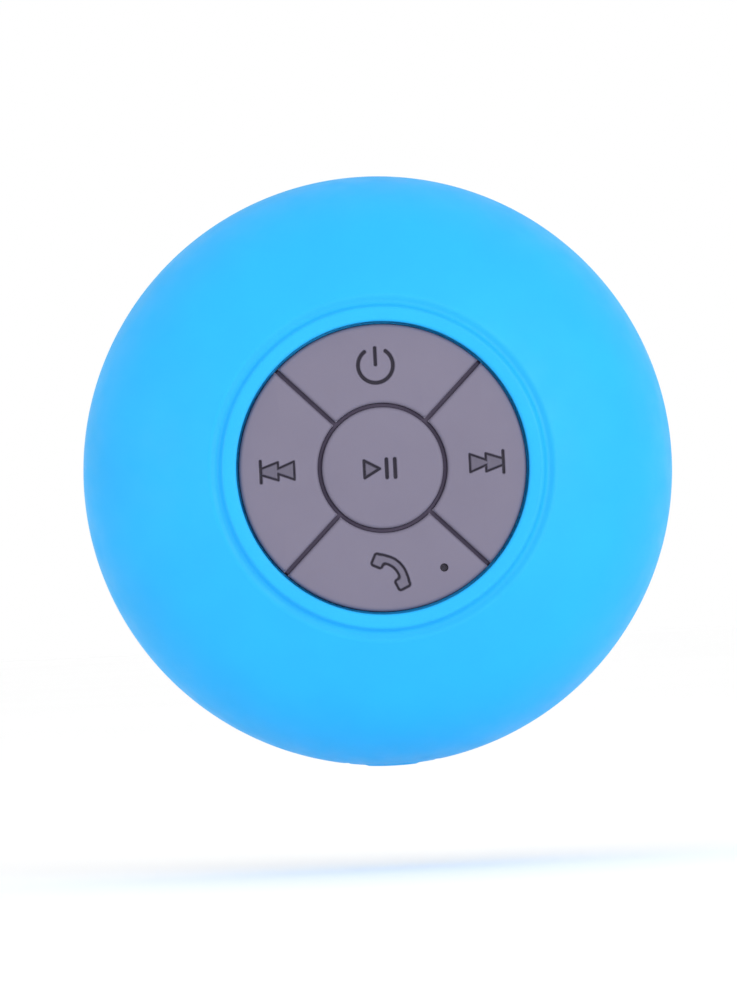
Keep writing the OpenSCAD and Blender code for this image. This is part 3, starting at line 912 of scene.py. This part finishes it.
def keypad_mat():
    """The mat under the keys, with the low ribs that show between them."""
    rib = GROOVE / 2 - 0.015
    rib_z = KEY_TOP - 1.05
    ring_r = MIDDLE_R + GROOVE / 2
    spin = [
        (0, mat_low[2], 0), (mat_high[0], mat_low[2], 0.15), (mat_high[0], mat_high[2], 0.15),
        (ring_r + rib, mat_high[2], 0.1), (ring_r + rib, rib_z, 0.1),
        (ring_r - rib, rib_z, 0.1), (ring_r - rib, mat_high[2], 0.1), (0, mat_high[2], 0),
    ]
    piece = lathe("keypad_mat_sheet", fillet(spin, 3), 144)
    spokes = []
    for turn in CORNERS:
        corners = [(ring_r, -rib), (KEY_OUT_R - 0.2, -rib), (KEY_OUT_R - 0.2, rib), (ring_r, rib)]
        outline = turned(corners, math.radians(turn))
        spokes.append(new_piece("spoke", *prism_data(outline, mat_low[2] + 0.2, rib_z)))
    boolean(piece, spokes, "UNION")
    holes = [disc(x, y, mat_low[2] - 1, mat_high[2] + 1, PLUNGER_R + 0.2) for x, y in KEY_SPOTS]
    holes.append(disc(*MIC_SPOT, mat_low[2] - 1, mat_high[2] + 1, 0.8))
    boolean(piece, holes)
    # the mat's darker colour stands as painted shade in the grooves between the keys
    finish_piece(piece, "housing", "mat_silicone", "keypad_mat")


keypad_mat()


def mic_membrane():
    """The thin woven disc that keeps water out of the microphone's hole."""
    top = KEY_TOP - 0.5
    r = MIC_R + 0.05
    outline = fillet([(0, top - 0.2, 0), (r, top - 0.2, 0), (r, top, 0.05), (0, top, 0)], 3)
    membrane = finish_piece(lathe("mic_membrane", outline, 40, spot=MIC_SPOT), "call_key", "mesh_cloth")
    membrane.data.materials[0] = MATERIALS["mic_cloth"]


mic_membrane()


# ---- flap and its window ----

def body_reach(z):
    """How far the body reaches from the middle at height z."""
    if z < MID_Z:
        return REAR_X + math.sqrt(REAR_EDGE_R**2 - (MID_Z - z) ** 2)
    return SHOULDER_X + math.sqrt(SHOULDER_R**2 - (z - MID_Z) ** 2)


def on_underside(x, z, out):
    """A point out from the lowest side of the body, under the point (x, z)."""
    return (x, -math.sqrt((body_reach(z) + out) ** 2 - x * x), z)


def rounded_rectangle(half_w, half_h, r, steps=6):
    """Corners (x, y) of a rectangle with round corners, centred."""
    outline = []
    for cx, cy, start in ((1, 1, 0), (-1, 1, 90), (-1, -1, 180), (1, -1, 270)):
        outline += arc(cx * (half_w - r), cy * (half_h - r), r, start, start + 90, steps)
    return outline


def loft(name, rings):
    """A closed piece through rings of points, all of one length, with flat ends."""
    points = [p for ring in rings for p in ring]
    levels = np.arange(len(points)).reshape(len(rings), -1)
    faces = [levels[0, ::-1].tolist(), levels[-1].tolist()]
    for one, two in zip(levels, levels[1:]):
        faces += wall(one, two)
    return new_piece(name, points, faces)


def cut_window():
    """Cuts the flap's window through the skin, with a small chamfer round its outer edge.

    The cutter starts well outside the body, because its flat end cuts across the body's curve.
    """
    half_w, half_h, corner = WINDOW_W / 2, WINDOW_H / 2, 1.5
    chamfer, over = 0.3, 0.8
    rings = []
    for grow, out in ((chamfer + over, 3.5), (chamfer + over, over), (0.0, -chamfer), (0.0, -5.0)):
        outline = rounded_rectangle(half_w + grow, half_h + grow, corner + grow)
        rings.append([on_underside(x, PORT_Z + z, out) for x, z in outline])
    boolean(skin, [loft("window", rings)])
    finish_piece(skin, None, "blue_silicone")


cut_window()


def sheet_mesh(name, top, back):
    """A closed piece from two grids of points, one over the other."""
    quads, rim = grid_faces(*top.shape[:2])
    count = top.shape[0] * top.shape[1]
    faces = quads.tolist() + (quads[:, ::-1] + count).tolist()
    rim = rim.tolist()
    for i, here in enumerate(rim):
        after = rim[(i + 1) % len(rim)]
        faces.append([here, here + count, after + count, after])
    points = np.concatenate([top.reshape(-1, 3), back.reshape(-1, 3)])
    return new_piece(name, points, faces, limit=50)


def lid_grid(half_w, half_h, corner, edge):
    """A grid over a rectangle with round corners, and each point's distance to the rim."""
    step = 0.16
    across, along = (spaced(2 * half, edge, step) - half for half in (half_w, half_h))
    a, b = np.meshgrid(across, along, indexing="ij")
    over_a = (np.abs(a) - half_w + corner) / corner
    over_b = (np.abs(b) - half_h + corner) / corner
    in_corner = (over_a > 0) & (over_b > 0)
    p, q = np.clip(over_a, 0, 1), np.clip(over_b, 0, 1)
    a = np.where(in_corner, np.sign(a) * (half_w - corner + corner * p * np.sqrt(1 - q * q / 2)), a)
    b = np.where(in_corner, np.sign(b) * (half_h - corner + corner * q * np.sqrt(1 - p * p / 2)), b)
    past_a, past_b = np.abs(a) - half_w + corner, np.abs(b) - half_h + corner
    gap = corner - np.hypot(np.maximum(past_a, 0), np.maximum(past_b, 0))
    return a, b, gap - np.minimum(np.maximum(past_a, past_b), 0)


def usb_flap():
    """The lid over the charging port: a curved patch with grip ridges, a hinge roll and a tongue."""
    corner, edge = 1.0, 0.4
    joint = next(j for j in frame["joints"] if j["name"] == "flap_hinge")
    hinge_z, hinge_y = -joint["pos_m"][1] / MM, joint["pos_m"][2] / MM
    high_z = flap_high[2]
    half_w = flap_high[0]
    a, b, gap = lid_grid(half_w, (high_z - hinge_z) / 2, corner, edge)
    near = np.clip(gap, 0, edge)
    drop = edge - np.sqrt(edge**2 - (edge - near) ** 2)
    z = (hinge_z + high_z) / 2 + b
    first_ridge, ridge_step, ridge_w, ridge_h = high_z - 1.3, 0.8, 0.17, 0.16
    ridges = sum(np.exp(-(((z - first_ridge + ridge_step * k) / ridge_w) ** 2)) for k in range(3))
    ridges = ridge_h * ridges * (1 - smoothstep(3.4, 4.0, np.abs(a)))
    reach = np.vectorize(body_reach)(z)
    top = np.stack([a, -np.sqrt((reach - drop + ridges) ** 2 - a * a), z], axis=-1)
    back = np.stack([a, -np.sqrt((reach - FLAP_T) ** 2 - a * a), z], axis=-1)
    lid = sheet_mesh("lid", top, back)
    half_roll, end_share = half_w - 0.8, 0.75
    levels = (
        (-half_roll, end_share), (-half_roll + 0.2, 1.0), (half_roll - 0.2, 1.0), (half_roll, end_share),
    )
    roll = arc(0, 0, FLAP_ROLL_R, 0, 360, 32)[:-1]
    barrel = loft("barrel", [
        [(x, hinge_y + y * share, hinge_z + h * share) for y, h in roll] for x, share in levels
    ])
    tip = -(BODY_R - PORT_PIT + 0.15)
    tongue_w, tongue_h = 4.4, 1.65
    tongue_rings = []
    for y, shrink in ((tip, 0.45), (tip - 0.3, 0.12), (tip - 1.0, 0.0), (-BODY_R + 1.0, 0.0)):
        outline = rounded_rectangle(tongue_w - shrink, tongue_h - shrink, 0.6)
        tongue_rings.append([(x, y, PORT_Z - 0.1 + h) for x, h in outline])
    boolean(lid, [barrel, loft("tongue", tongue_rings)], "UNION")
    lid.name = "usb_flap_cover"
    finish_piece(lid, "flap", "blue_silicone", "usb_flap")


usb_flap()


def usb_contacts():
    """The tongue inside the charging port, with five gold contacts on it."""
    front = port_low[1] + 0.7
    back = port_low[1] + PORT_DEPTH + 0.1
    middle = (port_low[2] + port_high[2]) / 2
    half_w, half_t = 1.9, 0.3
    low, high = (-half_w, front, middle - half_t), (half_w, back, middle + half_t)
    finish_piece(rounded_box("port_tongue", low, high, 0.1), "housing", "chip_black")
    pitch, half_finger, sunk, proud = 0.65, 0.16, 0.05, 0.06
    fingers = []
    for i in range(5):
        x = pitch * (i - 2)
        low = (x - half_finger, front + 0.2, middle + half_t - sunk)
        high = (x + half_finger, back, middle + half_t + proud)
        fingers.append(rounded_box("finger", low, high, 0.03, 1))
    contacts = join("port_contacts", fingers)
    finish_piece(contacts, "housing", "port_metal")
    contacts.data.materials[0] = MATERIALS["gold"]


usb_contacts()


# ---- rear ----

def rear_cover():
    """The hard rear cover: sound slots in a shallow ring, screw seats, a boss and the driver's wall."""
    rear, front = cover_low[2], COVER_TOP
    socket_r = SHANK_R + 0.05
    wall_top = driver_low[2]
    wall_out = driver_high[0]
    wall_in = wall_out - 1.6
    outline = fillet([
        (socket_r, rear, 0.25), (17.9, rear, 0), (18.6, rear, 0.1), (18.9, rear + 0.3, 0.1),
        (19.6, rear + 0.3, 0.1), (19.9, rear, 0.1), (26.4, rear, 0),
        (cover_high[0], rear, 0.8), (cover_high[0], front, 0.15),
        (wall_out, front, 0.3), (wall_out, wall_top, 0.15), (wall_in, wall_top, 0.15), (wall_in, front, 0.3),
        (7.0, front, 0.3), (7.0, SOCKET_TOP, 0.2), (socket_r, SOCKET_TOP, 0.2),
    ], 5)
    piece = lathe("rear_cover_plate", outline, 192)
    boolean(piece, [disc(*spot(EAR_RING, a), front - 0.2, driver_high[2], 2.2) for a in CORNERS], "UNION")
    cutters = [slot_cutter(math.radians(20 * (i + 0.5)), rear, front) for i in range(18)]
    head_r, hole_r, head_z = 2.1, 1.15, rear + 1.4
    levels = (
        (rear - 1, head_r + 1), (rear + 0.35, head_r), (head_z, head_r),
        (head_z + 0.0001, hole_r), (front + 1, hole_r),
    )
    for a in CORNERS:
        x, y = spot(SCREW_RING, a)
        rings = [[(*p, z) for p in arc(x, y, r, 0, 360, 40)[:-1]] for z, r in levels]
        cutters.append(loft("seat", rings))
        cutters.append(disc(*spot(EAR_RING, a), rear + 1.5, driver_high[2] + 1, 0.8, 24))
    boolean(piece, cutters)
    finish_piece(piece, "housing", "rear_plastic", "rear_cover")


def spot(r, degrees):
    """A place on a circle round the middle."""
    return r * math.cos(math.radians(degrees)), r * math.sin(math.radians(degrees))


def slot_cutter(turn, rear, front):
    """The shape of one sound slot, a little wider at the rear face."""
    inner, outer, half = 10.0, 16.4, 0.85
    middle, reach = (inner + outer) / 2, (outer - inner) / 2
    rings = []
    for z, grow in ((rear - 0.5, 0.75), (rear + 0.25, 0.0), (front + 1, 0.0)):
        outline = rounded_rectangle(reach + half + grow, half + grow, half + grow - 0.001, 8)
        rings.append([(*p, z) for p in turned([(middle + x, y) for x, y in outline], turn)])
    return loft("slot", rings)


def cup_stud():
    """The white stud between the suction cup and the body."""
    anchor_r = 6.5
    clip_low, clip_high = extent("stud_clip")
    groove_r = SHANK_R - 0.9
    outline = fillet([
        (0, stud_low[2], 0), (anchor_r, stud_low[2], 0.35), (anchor_r, stud_low[2] + 1.4, 0.35),
        (SHANK_R, stud_low[2] + 1.4, 0.3), (SHANK_R, cup_high[2] + 0.05, 0.1),
        (stud_high[0], cup_high[2] + 0.05, 0.45), (stud_high[0], cover_low[2] - 0.15, 0.6),
        (SHANK_R + 1.6, cover_low[2] - 0.15, 0.1), (SHANK_R, cover_low[2] - 0.25, 0.05),
        (SHANK_R, clip_low[2] - 0.03, 0.05), (groove_r, clip_low[2] - 0.03, 0.1),
        (groove_r, clip_high[2] + 0.03, 0.1), (SHANK_R, clip_high[2] + 0.03, 0.05),
        (SHANK_R, stud_high[2], 0.5), (0, stud_high[2], 0),
    ], 5)
    points, faces = lathe_data(outline, 160)
    points = np.array(points)
    r = np.hypot(points[:, 0], points[:, 1])
    turn = np.arctan2(points[:, 1], points[:, 0])
    grip = smoothstep(stud_high[0] - 0.7, stud_high[0] - 0.2, r) * 0.14 * (0.5 + 0.5 * np.cos(32 * turn))
    shrink = np.where(r > 0, (r - grip) / np.maximum(r, 1e-9), 1.0)
    points[:, :2] *= shrink[:, None]
    finish_piece(new_piece("cup_stud_post", points, faces), "stud", "white_plastic", "cup_stud")


def cup_wave(r):
    """The shallow rings moulded into the cup near its rim."""
    height, turns_per_mm, start, end = 0.09, 3.2, 20, 27
    return height * math.sin(r * turns_per_mm) * smoothstep(start, start + 3, r) * (r < end)


def suction_cup():
    """The clear cup: a thin dome on a flat rim, a hub round the stud, and a tab to lift its edge."""
    rim_r = 31.0
    inner_r = 27.5
    depth = 6.5
    lip = 0.9
    hub_r = 9.0
    pocket_r, pocket_low, pocket_top = 6.55, 8.15, 9.65
    hole_r = SHANK_R + 0.05
    inner_dome = (inner_r**2 + depth**2) / (2 * depth)
    dome_h = depth + 5
    outer_dome = (rim_r**2 + (dome_h - lip) ** 2) / (2 * (dome_h - lip))
    inner_turn = math.degrees(math.asin(inner_r / inner_dome))
    start = math.degrees(math.acos(rim_r / outer_dome))
    hub_meet = math.degrees(math.acos((hub_r + 1.6) / outer_dome))
    inside = arc(0, depth - inner_dome, inner_dome, 90, 90 - inner_turn, 40)
    inside = [(max(r, 0.0), z + cup_wave(r)) for r, z in inside]
    inside[0] = (0.0, depth)
    rim = fillet([(inner_r, 0, 0), (rim_r, 0, 0.25), (rim_r, lip, 0.35), (rim_r - 2, lip + 1.1, 0)], 5)[1:-1]
    outside = arc(0, dome_h - outer_dome, outer_dome, start + 1.6, hub_meet, 40)
    base_z = outside[-1][1]
    hub = fillet([
        (hub_r + 1.6, base_z, 0), (hub_r, base_z + 0.5, 1.2), (hub_r, cup_high[2], 0.8),
        (hole_r, cup_high[2], 0.25), (hole_r, pocket_top, 0.15), (pocket_r, pocket_top, 0.2),
        (pocket_r, pocket_low, 0.2), (0, pocket_low, 0),
    ], 6)[1:]
    piece = lathe("suction_cup_bell", inside + rim + outside + hub, 192)
    boolean(piece, [pull_tab()], "UNION")
    finish_piece(piece, None, "clear_cup", "suction_cup")
    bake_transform(piece)


def pull_tab():
    """The tongue that lets air in under the rim, with three ribs for a fingertip."""
    half_w, out, low, high = 4.5, 36.0, 0.3, 1.4
    outline = [(half_w, 28.6)] + arc(0, out, half_w, 0, 180, 24) + [(-half_w, 28.6)]
    tab = new_piece("tab", *prism_data(outline, low, high))
    with opened(tab.data) as bm:
        round_edges(bm, sharp_edges(bm, 60), 0.28, 3)
    ribs = []
    section = arc(0, 0, 0.32, 0, 360, 12)[:-1]
    for y, half in ((35.2, 2.9), (36.5, 2.55), (37.8, 2.2)):
        rings = [[(x, y + p * s, high - 0.05 + q * s) for p, q in section] for x, s in (
            (-half - 0.25, 0.35), (-half, 1.0), (half, 1.0), (half + 0.25, 0.35)
        )]
        ribs.append(loft("rib", rings))
    return boolean(tab, ribs, "UNION")


rear_cover()
cup_stud()
suction_cup()


# ---- inside ----

def blend_across(ring):
    """Bakes the ring's transform with its points laid along x, then puts the points back as they were; the ring is
    not bent to the cone or the basket.
    """
    points = ring.data.vertices
    places = np.empty(len(points) * 3)
    points.foreach_get("co", places)
    on_line = np.zeros((len(points), 3))
    on_line[:, 0] = np.hypot(places[0::3], places[2::3])
    points.foreach_set("co", on_line.ravel())
    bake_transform(ring)
    points.foreach_set("co", places)
    ring.data.update()


def spider():
    """The corrugated cloth disc that centres the coil."""
    low, high = extent("spider")
    inner, outer, thick = coil_high[0] + 0.05, high[0], 0.24
    middle = (low[2] + high[2]) / 2
    steps = 90
    r = np.linspace(inner, outer, steps + 1)
    fade = smoothstep(inner + 0.3, inner + 1.0, r) * (1 - smoothstep(outer - 1.4, outer - 0.6, r))
    wave = -0.38 * (1 - np.cos(2 * math.pi * (r - inner - 0.3) / 1.25)) / 2 * fade
    line = np.stack([r, middle + wave], axis=1)
    half = np.array([0, thick / 2])
    disc_piece = lathe("spider_disc", np.vstack([line - half, (line + half)[::-1]]), 120, limit=60)
    finish_piece(disc_piece, None, "spider_cloth", "spider")
    blend_across(disc_piece)


def surround():
    """The rubber roll round the cone, with its two glued edges."""
    _, high = extent("surround")
    inner, outer = 15.0, high[0]
    roll_x, roll_r, film = 17.0, 1.05, 0.3
    base = high[2] - film / 2
    centre_line = [(inner, base), (roll_x - roll_r - 0.25, base)]
    centre_line += arc(roll_x, base - 0.05, roll_r, 180, 360, 20)
    centre_line += [(roll_x + roll_r + 0.15, base), (outer, base)]
    line = np.array(centre_line)
    along = np.gradient(line, axis=0)
    across = np.stack([-along[:, 1], along[:, 0]], axis=1)
    across /= np.linalg.norm(across, axis=1)[:, None]
    half = across * film / 2
    roll = lathe("surround_roll", np.vstack([line + half, (line - half)[::-1]]), 144, limit=60)
    finish_piece(roll, None, "black_rubber", "surround")
    blend_across(roll)


def battery():
    """A soft pouch cell: pillowed faces, a folded seam and a taped end."""
    low, high = extent("battery")
    cells = (26, 16)
    u, v = np.meshgrid(np.linspace(-1, 1, cells[0]), np.linspace(-1, 1, cells[1]), indexing="ij")
    half = (high - low) / 2
    centre = (high + low) / 2
    pillow = (1 - np.abs(u) ** 8) * (1 - np.abs(v) ** 8)
    y = centre[1] + u * half[1] * (0.985 + 0.015 * (1 - np.abs(v) ** 6))
    z = centre[2] + v * half[2]
    depth = half[0] * (0.55 + 0.45 * pillow ** 0.6) - 0.05
    top = np.stack([centre[0] + depth, y, z], axis=-1)
    back = np.stack([centre[0] - depth, y, z], axis=-1)
    cell = sheet_mesh("battery_pouch", top, back)
    finish_piece(cell, "housing", "cell_foil", "battery")
    tape_low = (low[0] + 0.02, low[1] + 1.0, high[2] - 3.2)
    tape_high = (high[0] - 0.02, high[1] - 1.0, high[2] - 0.02)
    finish_piece(rounded_box("battery_tape", tape_low, tape_high, 0.35, 3), "housing", "lamp")


def eased(node, edge, slot, body):
    """A copy of a CAD node with its sharp edges rounded, which stands for it."""
    mesh = frame["nodes"][node].data.copy()
    mesh.name = node + "_part"
    with opened(mesh) as bm:
        bmesh.ops.remove_doubles(bm, verts=bm.verts, dist=0.002 * MM)
        bmesh.ops.dissolve_limit(
            bm, angle_limit=math.radians(0.5), verts=bm.verts, edges=bm.edges, delimit=set()
        )
        round_edges(bm, sharp_edges(bm, 50), edge, clamp=True)
    soften(mesh, 35)
    finish_piece(linked(node + "_part", mesh), body, slot, node)


def ease_parts():
    """Rounded edges on the small hard parts."""
    edges = {
        "main_board": 0.1, "usb_board": 0.1, "switch_bodies": 0.18, "status_light": 0.12,
        "wireless_module": 0.1, "amplifier_chip": 0.12, "charger_chip": 0.1, "microphone": 0.15,
        "usb_port": 0.16, "driver_front_plate": 0.15, "driver_magnet": 0.4, "driver_yoke": 0.25,
        "case_screws": 0.1, "board_screws": 0.1, "driver_screws": 0.1, "stud_clip": 0.08,
        "driver_gasket": 0.15, "case_seal": 0.2, "battery_pad": 0.2, "mic_gasket": 0.15,
    }
    slots = {part["node"]: part["material_slot"] for part in frame["record"]["subparts"]}
    bodies = frame["record"]["behaviour"]["bodies"]
    for node, edge in edges.items():
        body = next(name for name, members in bodies.items() if node in members)
        eased(node, edge, slots[node], body)


spider()
surround()
battery()
ease_parts()


# ---- stage and light ----

def make_stage():
    """A pale floor, low enough for the open flap to clear it, and a white surround."""
    floor_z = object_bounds()[0].z - 0.015
    mesh = bpy.data.meshes.new("floor")
    size = 6.0
    corners = [(x, y, floor_z) for x, y in ((-size, -size), (size, -size), (size, size), (-size, size))]
    mesh.from_pydata(corners, [], [(0, 1, 2, 3)])
    floor = linked("floor", mesh)
    f = Finish("pale_floor", 0.8, specular=0.1)
    f.colour(tinted(f, (0.995, 0.995, 0.995, 1.0), 0.004, 4))
    mesh.materials.append(f.material)
    world = bpy.data.worlds.new("surround")
    world.use_nodes = True
    background = world.node_tree.nodes["Background"].inputs
    background["Color"].default_value = (1, 1, 1, 1)
    background["Strength"].default_value = 1.0
    bpy.context.scene.world = world
    bpy.context.scene.view_settings.view_transform = "Standard"


def soft_light(name, place, size, watts):
    """A square soft light aimed at the body."""
    data = bpy.data.lights.new(name, "AREA")
    data.size = size
    data.energy = watts
    light = linked(name, data)
    light.location = place
    target = Vector((0, -MID_Z * MM, 0))
    light.rotation_mode = "QUATERNION"
    light.rotation_quaternion = (target - light.location).to_track_quat("-Z", "Y")


make_stage()
soft_light("key_light", Vector((0.55, -0.9, 0.2)), 0.5, 4.5)
soft_light("fill_light", Vector((-0.9, -0.5, 0.05)), 0.5, 1.8)
